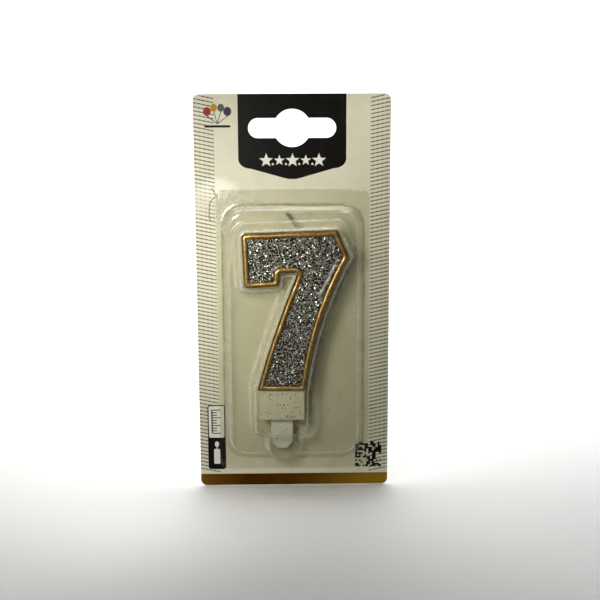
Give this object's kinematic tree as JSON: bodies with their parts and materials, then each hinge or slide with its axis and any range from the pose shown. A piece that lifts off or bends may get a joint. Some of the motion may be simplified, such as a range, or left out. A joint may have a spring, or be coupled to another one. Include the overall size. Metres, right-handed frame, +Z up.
{
  "type": "number birthday candle in a hanging blister pack",
  "caption": "Flat wax number candle, a seven with a glitter face, raised gold rim, wick and cake stake, in a clear blister sealed to a hanging card.",
  "frame": {"origin": "centre of the hanging slot, on the back face of the card", "axes": "+X to the right of the seven as it is read, +Y out of the card's back, +Z up; the candle's face looks along -Y"},
  "size_m": [0.07, 0.0112, 0.145],
  "materials": {
    "board": "coated off-white board with dark printed header and pinstripes",
    "foil": "hot-stamped gold foil",
    "clear_sheet": "clear thermoformed sheet",
    "wax": "translucent white wax",
    "gold": "metallic gold paint on raised wax",
    "glitter": "silver glitter in clear lacquer",
    "wick": "dark waxed cotton braid",
    "stake": "frosted white plastic"
  },
  "bodies": {
    "card": {"backing_card": "board", "foil_band": "foil"},
    "candle": {"wax_body": "wax", "glitter_coat": "glitter", "gold_rim": "gold", "wick": "wick", "stake": "stake"},
    "blister": {"blister": "clear_sheet"}
  },
  "joints": [
    {"name": "candle_lift", "type": "slide", "parent": "card", "child": "candle", "axis": [0, -1, 0], "range_m": [0, 0.03]},
    {"name": "blister_lift", "type": "slide", "parent": "candle", "child": "blister", "axis": [0, -1, 0], "range_m": [0, 0.04]}
  ]
}
